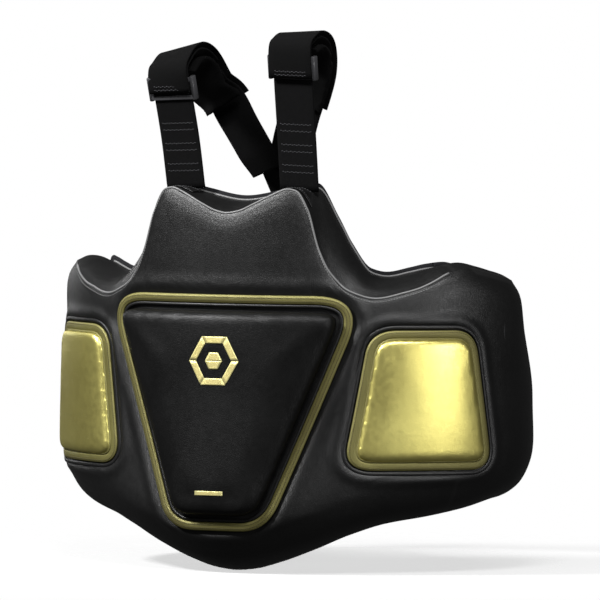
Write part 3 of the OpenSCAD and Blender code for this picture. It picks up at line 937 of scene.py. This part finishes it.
def plump(obj, hold, cap, pressure=3.0, voxel=4.5 * MM, calm=3):
    """Inflates a padded piece by cloth simulation; hold(points) is 1 where it is sewn down.

    The swelling is averaged over calm rounds, so that stuffed leather shows no sharp folds.
    """
    bpy.context.view_layer.objects.active = obj
    remesh = obj.modifiers.new("remesh", "REMESH")
    remesh.mode = "VOXEL"
    remesh.voxel_size = voxel
    remesh.use_smooth_shade = True
    bpy.ops.object.modifier_apply(modifier=remesh.name)
    before = mesh_points(obj)
    group = obj.vertex_groups.new(name="sewn")
    weight = hold(before)
    for i in np.nonzero(weight > 0.01)[0]:
        group.add([int(i)], float(weight[i]), "REPLACE")
    cloth_mod = obj.modifiers.new("cloth", "CLOTH")
    settings = cloth_mod.settings
    settings.quality = 4
    settings.mass = 0.3
    settings.tension_stiffness = settings.compression_stiffness = 12
    settings.shear_stiffness = 5
    settings.bending_stiffness = 2.0
    settings.use_pressure = True
    settings.uniform_pressure_force = pressure
    settings.vertex_group_mass = "sewn"
    settings.effector_weights.gravity = 0
    cloth_mod.point_cache.frame_start, cloth_mod.point_cache.frame_end = 1, 20
    for step in range(1, 19):
        bpy.context.scene.frame_set(step)
    after = mesh_points(obj.evaluated_get(bpy.context.evaluated_depsgraph_get()))
    obj.modifiers.remove(cloth_mod)
    move = after - before
    size = np.linalg.norm(move, axis=1, keepdims=True)
    move *= np.minimum(1, cap / np.maximum(size, 1e-9))
    move = spread(obj, move, calm)
    obj.data.vertices.foreach_set("co", (before + move).ravel())
    obj.data.update()
    bpy.context.scene.frame_set(1)
    finer = obj.modifiers.new("finer", "SUBSURF")
    finer.levels = finer.render_levels = 1
    bpy.ops.object.modifier_apply(modifier=finer.name)
    obj.vertex_groups.clear()


CHEST_RISE = 21 * MM
CHEST_FOOT = BORDER + 7 * MM


def sewn_below(depth_limit):
    """Holds the points that lie close to the trunk."""

    def hold(points):
        angle = np.degrees(np.arctan2(points[:, 0] / HALF_WIDTH, -points[:, 1] / HALF_DEPTH))
        base = on_trunk(angle, 0.0, points[:, 2])
        rise = np.linalg.norm(points[:, :2], axis=1) - np.linalg.norm(base[:, :2], axis=1)
        return 1 - ramp(rise, depth_limit, depth_limit * 2.2)

    return hold


def chest_pad():
    bevel = lambda normal: (14 + 9 * np.abs(normal[:, 0])) * MM
    pad = dome(
        "chest_pad", CHEST_RING, CHEST_MIDDLE, chest_point, CHEST_FOOT, bevel,
        CHEST_RISE - 1.5 * MM, 1.0 * MM, CHEST_LEATHER,
    )
    plump(pad, sewn_below(4 * MM), 2.5 * MM, calm=14)
    place(pad, "shield", ["chest_pad_cover"])
    emblem(pad)
    band = band_round("chest_border", CHEST_RING, chest_point, 0, BORDER, 2.6 * MM, DULL_GOLD_PAINTED_SHADE)
    place(band, "shield", ["chest_pad_border"])
    for k, inset in enumerate((3.2 * MM, 6.8 * MM)):
        row = stitched_ring(
            f"chest_border_stitches_{k + 1}", CHEST_RING, chest_point, inset, 3.0 * MM,
            2.8 * MM, 2.0 * MM, 0.5 * MM, DARK_THREAD,
        )
        place(row, "shield")
    channel = band_round(
        "chest_pad_welt", CHEST_RING, chest_point, BORDER + 0.4 * MM, BORDER + 4 * MM, 1.6 * MM,
        BLACK_LEATHER,
    )
    place(channel, "shield")


SIDE_RISE = 8.6 * MM


def side_pad(side):
    name = side_name(side)
    point = side_point(side)
    bevel = lambda normal: (8 + 4 * np.maximum(0, -normal[:, 1])) * MM
    pad = dome(
        f"{name}_side_pad", SIDE_RING, SIDE_MIDDLE, point, BORDER - 1 * MM, bevel,
        SIDE_RISE - 1.2 * MM, 0.8 * MM, GOLD_LEATHER,
    )
    plump(pad, sewn_below(3 * MM), 1.4 * MM, voxel=3.6 * MM, calm=16)
    place(pad, "shield", [f"{name}_side_pad_cover"])
    flange = band_round(f"{name}_side_pad_flange", SIDE_RING, point, 0, BORDER, 2.2 * MM, DULL_GOLD_PAINTED_SHADE)
    place(flange, "shield")
    welt = band_round(
        f"{name}_side_pad_welt", SIDE_RING, point, BORDER - 1.2 * MM, BORDER + 1.8 * MM, 3.0 * MM, DULL_GOLD_PAINTED_SHADE
    )
    place(welt, "shield")
    row = stitched_ring(
        f"{name}_side_pad_stitches", SIDE_RING, point, 2.4 * MM, 2.45 * MM,
        2.7 * MM, 1.7 * MM, 0.5 * MM, DARK_THREAD,
    )
    place(row, "shield")
    ridge = band_round(
        f"{name}_side_pad_ridge", SIDE_RING, point, -5.5 * MM, -1.2 * MM, 1.6 * MM, BLACK_LEATHER
    )
    place(ridge, "shield", [f"{name}_side_pad_surround"])


# ---- Generic marks ----
def on_pad(pad, flat, rise):
    """Places in front of a pad's real face, by a ray from the front through each flat point."""
    places = []
    for x, z in flat:
        hit, place_hit, _, _ = pad.ray_cast((x, -0.5, z), (0, 1, 0))
        places.append(place_hit if hit else (x, -HALF_DEPTH - CHEST_RISE, z))
    return np.array(places) - np.array([0, rise, 0])


def printed(name, pad, quads, nodes, parts=6):
    """A thin printed shape on a pad's face, from flat four-cornered outlines."""
    share = np.linspace(0, 1, parts + 1)[:, None, None]
    solids = []
    for a, b, c, d in np.array(quads):
        across = np.linspace(0, 1, parts + 1)[None, :, None]
        flat = mix(mix(a, b, across), mix(d, c, across), share).reshape(-1, 2)
        border = grid_border(parts + 1, parts + 1)
        count = len(flat)
        top = grid_faces(parts + 1, parts + 1)
        faces = top + [[v + count for v in reversed(face)] for face in top]
        faces += [[i, j, j + count, i + count] for i, j in zip(border, np.roll(border, -1))]
        solids.append((np.vstack([on_pad(pad, flat, 0.7 * MM), on_pad(pad, flat, 0.05 * MM)]), faces))
    place(merged(name, solids, GOLD_PRINT), "shield", nodes)


def emblem(pad):
    """A six-sided ring round a small stud, and a short bar below."""
    centre = np.array([0, 243]) * MM
    turn = np.radians(np.arange(7) * 60)
    hexagon = np.stack([np.cos(turn), np.sin(turn)], axis=1)
    outer, inner = centre + hexagon * 32 * MM, centre + hexagon * 23 * MM
    sides = [[outer[i], outer[i + 1], inner[i + 1], inner[i]] for i in range(6)]
    stud = centre + hexagon * 11 * MM
    halves = [[stud[0], stud[1], stud[2], stud[3]], [stud[3], stud[4], stud[5], stud[0]]]
    printed("chest_mark", pad, sides + halves, ["chest_emblem"])
    half = np.array([(-18, -2.5), (18, -2.5), (18, 2.5), (-18, 2.5)]) * MM
    printed("chest_line", pad, [np.array([0, 92]) * MM + half], ["chest_bar"])


# ---- Harness ----
WEB_WIDTH = 50 * MM
WEB_THICK = 2.4 * MM
THREAD = 0.35 * MM


def loop_top(side):
    """Height in millimetres of the webbing at the top of a shoulder loop."""
    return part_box(f"{side_name(side)}_front_strap")[1][2] / MM - 1.2


def loop_front(side):
    return loop_top(side) - (27 if side < 0 else 20)


def loop_route(side, parts=10):
    top, front = loop_top(side), loop_front(side)
    points = [
        (74, -141, 444), (76, -151, 500), (79, -168, front), (79, -160, front + 14), (78, -140, top),
        (75, -114, top - 9), (67, -95, top - 36), (53, -84, min(546, top - 52)), (40, -79, 516),
        (28, -70, 490),
    ]
    route = spline(points, parts) * MM
    for _ in range(12):
        route[1:-1] = (route[:-2] + 2 * route[1:-1] + route[2:]) / 4
    route[:, 0] *= side
    return route


def strap_frames(route, roll=0.0):
    """Tangent, width direction and face direction of a flat strap; the face looks to the wearer.

    A roll leans the strap over sideways at its highest point, by that many degrees.
    """
    tangent = unit(np.gradient(route, axis=0))
    level = unit(np.array([1.0, 0, 0]) - tangent[:, :1] * tangent)
    face = np.cross(tangent, level)
    turn = np.radians(roll) * ramp(route[:, 2:], route[:, 2].max() - 50 * MM, route[:, 2].max() - 5 * MM)
    return tangent, level * np.cos(turn) + face * np.sin(turn), face * np.cos(turn) - level * np.sin(turn)


def strap(name, route, width, thick, offset, material, roll=0.0):
    tangent, level, face = strap_frames(route, roll)
    return sweep(name, route + face * offset, level, face, flat_section(width, thick, 9), material)


def bartacks(name, route, distances, body, offset, half_row=19 * MM):
    """Rows of thread across a strap, one at each distance along it."""
    tangent, level, face = strap_frames(route)
    along = run_lengths(route)
    centres, across, ups = [], [], []
    for distance in distances:
        at = np.array([np.interp(distance, along, np.arange(len(along)))])
        middle, wide, up, run = (pick(v, at)[0] for v in (route, level, face, tangent))
        for i, x in enumerate(np.linspace(-half_row, half_row, 15)):
            centres.append(middle + wide * x + run * (0.4 * MM * (-1) ** i) + up * offset)
            across.append(wide)
            ups.append(up)
    obj = stitches(
        name, np.array(centres), np.array(across), np.array(ups), 2.3 * MM, THREAD, BLACK_THREAD
    )
    place(obj, body)


def shoulder(side):
    name = side_name(side)
    route = loop_route(side)
    roll = -14 if side < 0 else -3
    sewn_end = (route[0] + np.array([side * -0.4, 1.5, -7.5]) * MM)[None, :]
    front_route = np.vstack([sewn_end, route[:54]])
    front = strap(f"{name}_front_webbing", front_route, WEB_WIDTH, WEB_THICK, 0, WEBBING, roll)
    place(front, "harness", [f"{name}_front_strap"])
    meeting = spline([(28, -70, 490), (20, -63, 472), (12, -54, 456)], 8)[1:] * np.array([side, 1, 1]) * MM
    rear_route = np.vstack([route[56:], meeting])
    rear = strap(f"{name}_rear_webbing", rear_route, WEB_WIDTH, WEB_THICK, 0, WEBBING)
    place(rear, "harness", [f"{name}_rear_strap"])
    pad = strap(f"{name}_soft_pad", route[24:74], 57 * MM, 6.0 * MM, 11.4 * MM, SLEEVE, roll)
    plump(pad, lambda points: np.zeros(len(points)), 0.5 * MM, 1.5, 3.2 * MM, calm=8)
    place(pad, "harness", [f"{name}_shoulder_pad"])
    sleeve = strap(f"{name}_sleeve", route[17:74], 56 * MM, 1.8 * MM, -6.4 * MM, SLEEVE, roll)
    place(sleeve, "harness", [f"{name}_shoulder_sleeve"])
    rows = np.array([14, 22, 38, 46, 62, 70]) * MM
    bartacks(f"{name}_front_bartacks", route, rows, "harness", -WEB_THICK / 2)
    bartacks(f"{name}_sleeve_bartacks", route[17:74], np.array([4, 8]) * MM, "harness", -7.4 * MM)
    bartacks(f"{name}_rear_bartacks", route[78:], np.array([6, 14]) * MM, "harness", -WEB_THICK / 2)
    adjuster(side)
    strap_anchor(side)


def squared(values, power):
    """Cosines or sines pushed outwards, so that the circle they draw has flatter sides."""
    return np.sign(values) * np.abs(values) ** power


def block(start, end, wide, out, half_wide, half_out, soft):
    """Points and faces of a moulded bar between two points, with softened edges and ends."""
    run = unit(end - start)
    turn = np.linspace(0, 2 * np.pi, 16, endpoint=False)
    shape = np.stack([squared(np.cos(turn), 0.45), squared(np.sin(turn), 0.45)], axis=1)
    rings = []
    for share, inset in ((0, 1.0), (0, 0.3), (0, 0.0), (1, 0.0), (1, 0.3), (1, 1.0)):
        push = (1 - inset if share == 0 else inset - 1) * soft
        centre = mix(start, end, share) + run * (push - soft if share == 0 else push + soft)
        size = np.array([half_wide, half_out]) - soft * inset * 0.7
        rings.append(centre + wide * shape[:, :1] * size[0] + out * shape[:, 1:] * size[1])
    return np.vstack(rings), tube_faces(6, 16, False)


def merged(name, parts, material):
    """One object from several closed sets of points and faces."""
    points, faces, count = [], [], 0
    for part_points, part_faces in parts:
        points.append(part_points)
        faces += [[v + count for v in face] for face in part_faces]
        count += len(part_points)
    return solid(name, np.vstack(points), faces, material)


def adjuster(side):
    """Two bars in front of the webbing and one behind it, joined by two end blocks."""
    name = side_name(side)
    foot = np.array([side * 76, -151, 500]) * MM
    head = np.array([side * 79, -168, loop_front(side)]) * MM
    along = unit(head - foot)
    wide = unit(np.array([1.0, 0, 0]) - along[0] * along)
    inward = np.cross(along, wide)
    middle = head - along * 14 * MM
    half_bar, half_end = wide * 29 * MM, along * 13 * MM

    def bar(centre):
        return block(centre - half_bar, centre + half_bar, along, inward, 2.5 * MM, 0.8 * MM, 0.4 * MM)

    parts = []
    for end in (-1, 1):
        centre = middle + wide * end * 28 * MM + inward * 0.4 * MM
        parts.append(
            block(centre - half_end, centre + half_end, wide, inward, 2.6 * MM, 4.6 * MM, 1 * MM)
        )
        parts.append(bar(middle + along * end * 10.5 * MM - inward * 3.3 * MM))
    parts.append(bar(middle + inward * 3.3 * MM))
    buckle = merged(f"{name}_slide_buckle", parts, PLASTIC)
    place(buckle, f"{name}_slider", [f"{name}_adjuster"])


def strap_anchor(side):
    """Leather patch over a strap's sewn end, with a stitched edge."""
    name = side_name(side)
    chosen = columns_from(*sorted([side * 11, side * 20.5]))
    rows = slice(SEAM_ROW + 6, SEAM_ROW + 14)
    normals = COVER_NORMALS[chosen, rows]
    points = COVER[chosen, rows] + normals * 1.7 * MM
    patch = shell_piece(f"{name}_anchor_patch", points, normals, 1.6 * MM, BLACK_LEATHER)
    place(patch, "shield", [f"{name}_strap_anchor"])
    for k, row in enumerate((1, -2)):
        stitch = stitched_path(
            f"{name}_anchor_stitches_{k + 1}", points[1:-1, row], normals[1:-1, row], 3.4 * MM,
            2.2 * MM, THREAD, BLACK_THREAD,
        )
        place(stitch, "shield")


YOKE_FOOT = np.array([0, -43.6, 456]) * MM
YOKE_LEAN = math.radians(33)


def yoke_point(flat, rise):
    """Place of flat yoke coordinates, raised outwards."""
    up = np.array([0, -math.sin(YOKE_LEAN), math.cos(YOKE_LEAN)])
    out = np.array([0, math.cos(YOKE_LEAN), math.sin(YOKE_LEAN)])
    across = np.array([1.0, 0, 0])
    return YOKE_FOOT + flat[:, :1] * across + flat[:, 1:] * up + out * rise


def yoke():
    """Notched patch behind the meeting straps."""
    half = [(0, 30), (26, 46), (44, 42), (36, 24), (26, 0)]
    corners = np.array(half + [(-x, y) for x, y in half[:0:-1]]) * MM
    reach = np.array([4, 5, 4, 6, 5, 5, 6, 4, 5]) * MM
    ring = outline(corners, reach, 1.5 * MM)
    levels = [(0, 0), (0, 1.4), (0.5, 2.1), (1.4, 2.4)]
    rings = np.stack([yoke_point(inset_ring(ring, inset * MM), rise * MM) for inset, rise in levels])
    patch = solid("yoke_patch", rings, tube_faces(len(levels), len(ring), False), BLACK_LEATHER)
    place(patch, "harness", ["back_yoke"])
    row = stitched_ring(
        "yoke_stitches", ring, yoke_point, 3 * MM, 2.5 * MM, 3.0 * MM, 2.1 * MM, THREAD, GREY_THREAD
    )
    place(row, "harness")


def centre_strap():
    points = [
        (0, -66, 480), (0, -44, 452), (0, -8, 412), (0, 36, 370), (0, 76, 334), (0, 96, 306), (0, 100, 286)
    ]
    route = spline(points, 10) * MM
    band = strap("centre_webbing", route, WEB_WIDTH, WEB_THICK, 0, WEBBING)
    place(band, "harness", ["centre_strap"])
    tab = strap("centre_hook_tape", route[47:], WEB_WIDTH - 6 * MM, 1.6 * MM, -2.5 * MM, PILE)
    place(tab, "harness", ["centre_strap_hook_tab"])
    bartacks("centre_bartacks", route, np.array([30, 36, 150, 230]) * MM, "harness", -WEB_THICK / 2)


# ---- Back belt and rear loops ----
BELT_MIDDLE = 262 * MM
BELT_HALF_WIDTH, BELT_HALF_DEPTH = 254 * MM, 138 * MM
BELT_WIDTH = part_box("right_belt")[1][2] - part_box("right_belt")[0][2]
BELT_THICK = 3 * MM


def belt_band(name, side, start, stop, low, high, width, material):
    """A band on edge round the back, between two angles and two distances out."""
    turn = np.radians(np.linspace(start, stop, int((stop - start) / 1.5) + 2))
    out = np.stack([side * np.sin(turn), -np.cos(turn), 0 * turn], axis=1)
    size = np.array([BELT_HALF_WIDTH, BELT_HALF_DEPTH, 0]) + (low + high) / 2
    path = out * size + np.array([0, 0, BELT_MIDDLE])
    upright = np.tile([0.0, 0, 1], (len(path), 1))
    tangent, _, _ = frames_along(path, upright)
    face = np.cross(upright, tangent)
    return sweep(name, path, upright, face, flat_section(width, high - low, 12), material)


def belt(side, stop):
    name = side_name(side)
    band = belt_band(f"{name}_belt_elastic", side, 116.8, stop, 0, BELT_THICK, BELT_WIDTH, ELASTIC)
    place(band, f"{name}_belt_half", [f"{name}_belt"])


def belts():
    belt(LEFT, 150)
    belt(RIGHT, 205)
    loops = belt_band("belt_loop_tape", LEFT, 128, 149, 3.6 * MM, 5.2 * MM, BELT_WIDTH - 10 * MM, PILE)
    place(loops, "left_belt_half", ["left_belt_loop_patch"])
    hooks = belt_band("belt_hook_tape", RIGHT, 189, 204, -1.9 * MM, -0.6 * MM, BELT_WIDTH - 16 * MM, PILE)
    place(hooks, "right_belt_half", ["right_belt_hook_patch"])


TAB_HEIGHT = 327 * MM
TAB_TURN = math.radians(128.5)


def rear_loop(side):
    """Ribbed tab at a wing's rear end and the slotted plastic loop it holds."""
    name = side_name(side)
    end = on_trunk(side * WING_END, WALL / 2, TAB_HEIGHT)
    origin = np.array([end[0], end[1], TAB_HEIGHT])
    away = np.array([side * math.cos(TAB_TURN), math.sin(TAB_TURN), 0])
    up = np.array([0, 0, 1.0])
    across = np.cross(up, away)

    def at(x, z):
        return origin + away * np.reshape(x, (-1, 1)) + up * np.reshape(z, (-1, 1))

    reach = np.linspace(0.5, 17, 12) * MM
    path = at(reach, 0 * reach)
    tab = sweep(
        f"{name}_ribbed_tab", path, np.tile(up, (12, 1)), np.tile(across, (12, 1)),
        flat_section(18 * MM, 2.8 * MM, 7), TAB_ELASTIC,
    )
    place(tab, f"{name}_wing", [f"{name}_wing_tab"])
    turn = np.linspace(0, 2 * np.pi, 40, endpoint=False)
    x = (23.5 + 5.2 * squared(np.cos(turn), 0.4)) * MM
    z = 10.7 * squared(np.sin(turn), 0.4) * MM
    path = at(x, z)
    _, inner, out = frames_along(path, np.tile(across, (40, 1)), closed=True)
    bead = round_section(1.35 * MM, 10)
    ring = sweep(f"{name}_slotted_loop", path, inner, out, bead, PLASTIC, closed=True)
    place(ring, f"{name}_rear_loop", [f"{name}_wing_loop"])


def build_all():
    body_cover()
    body_liner()
    body_seams()
    chest_pad()
    for side in (LEFT, RIGHT):
        side_pad(side)
        shoulder(side)
        rear_loop(side)
    yoke()
    centre_strap()
    belts()


build_all()

# ---- CAD nodes that stay: the sealed fillings ----
for node, obj in frame["nodes"].items():
    fill = GEL if node.endswith("gel") else FOAM
    for k in range(len(obj.material_slots)):
        obj.material_slots[k].material = fill


# ---- Floor, light and camera ----
def floor_material():
    """Pale matt floor that fades into the background away from the object."""
    n = Nodes("pale_floor")
    where = n.coordinates()
    grain = n.noise(where, 30.0, 3.0)
    n.set(Base_Color=n.blend(grain, colour(0.93, 0.93, 0.93), colour(0.96, 0.96, 0.96)), Roughness=0.8)
    away = n.add("ShaderNodeVectorMath", {0: where}, operation="LENGTH").outputs["Value"]
    clear = n.add("ShaderNodeBsdfTransparent").outputs[0]
    seen = n.add("ShaderNodeLightPath").outputs["Is Camera Ray"]
    fade = n.maths("SUBTRACT", 1.0, n.maths("MULTIPLY", seen, n.ranged(away, 0.20, 0.60, 0.35, 0.0)))
    mixed = n.add("ShaderNodeMixShader", {0: fade, 1: n.surface.outputs[0], 2: clear})
    n.tree.links.new(mixed.outputs[0], n.tree.nodes["Material Output"].inputs["Surface"])
    return n.material


def stage():
    mesh = bpy.data.meshes.new("floor")
    size = 12.0
    level = cad_box[0][2] - 0.002
    corners = [(-size, -size, level), (size, -size, level), (size, size, level), (-size, size, level)]
    mesh.from_pydata(corners, [], [(0, 1, 2, 3)])
    floor = bpy.data.objects.new("floor", mesh)
    bpy.context.collection.objects.link(floor)
    mesh.materials.append(floor_material())
    floor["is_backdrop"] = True


def lamp(name, azimuth, elevation, distance, size, power):
    """An area light aimed at the middle of the object; azimuth 0 is straight in front of the chest."""
    data = bpy.data.lights.new(name, "AREA")
    data.shape = "RECTANGLE"
    data.size, data.size_y = size
    data.energy = power
    obj = bpy.data.objects.new(name, data)
    away = toward(math.radians(azimuth), math.radians(elevation))
    obj.location = TARGET + away * distance
    obj.rotation_euler = direction(-away)
    bpy.context.collection.objects.link(obj)


def toward(azimuth, elevation):
    """Unit vector from the object to something at an azimuth and elevation."""
    level = math.cos(elevation)
    return np.array([math.sin(azimuth) * level, -math.cos(azimuth) * level, math.sin(elevation)])


def direction(vector):
    """Rotation that points an object's -Z along a vector."""
    x, y, z = vector
    flat = math.hypot(x, y)
    return (math.atan2(flat, -z), 0, math.atan2(-x, y))


AZIMUTH, ELEVATION = math.radians(28), math.radians(2.5)
DISTANCE = 12
VIEW_WIDTH = 0.696
SENSOR = 36
TARGET = np.array([0, 0, 0.3045])


def camera():
    data = bpy.data.cameras.new("camera")
    data.sensor_width = SENSOR
    data.lens = SENSOR * DISTANCE / VIEW_WIDTH
    data.clip_end = 60
    obj = bpy.data.objects.new("camera", data)
    away = toward(AZIMUTH, ELEVATION)
    obj.location = TARGET + away * DISTANCE
    obj.rotation_euler = direction(-away)
    bpy.context.collection.objects.link(obj)
    bpy.context.scene.camera = obj


def world():
    """A white background for the camera, and a dim grey studio for everything else."""
    w = bpy.data.worlds.new("world")
    w.use_nodes = True
    bpy.context.scene.world = w
    tree = w.node_tree
    path = tree.nodes.new("ShaderNodeLightPath")
    strength = tree.nodes.new("ShaderNodeMapRange")
    strength.inputs["To Min"].default_value = 0.05
    strength.inputs["To Max"].default_value = 1.0
    tree.links.new(path.outputs["Is Camera Ray"], strength.inputs["Value"])
    background = tree.nodes["Background"]
    background.inputs["Color"].default_value = (1, 1, 1, 1)
    tree.links.new(strength.outputs["Result"], background.inputs["Strength"])


stage()
lamp("key", 30, 46, 2.6, (0.7, 0.7), 48)
lamp("side", 60, 6, 2.6, (0.6, 0.4), 20)
lamp("bib", -42, 38, 2.6, (0.40, 0.35), 100)
lamp("rim", -116, 14, 2.4, (0.3, 1.2), 5)
camera()
world()
bpy.context.scene.view_settings.view_transform = "Standard"

boxes = {"cad": cad_box, "visual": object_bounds()}
{key: [list(map(float, corner)) for corner in box] for key, box in boxes.items()}
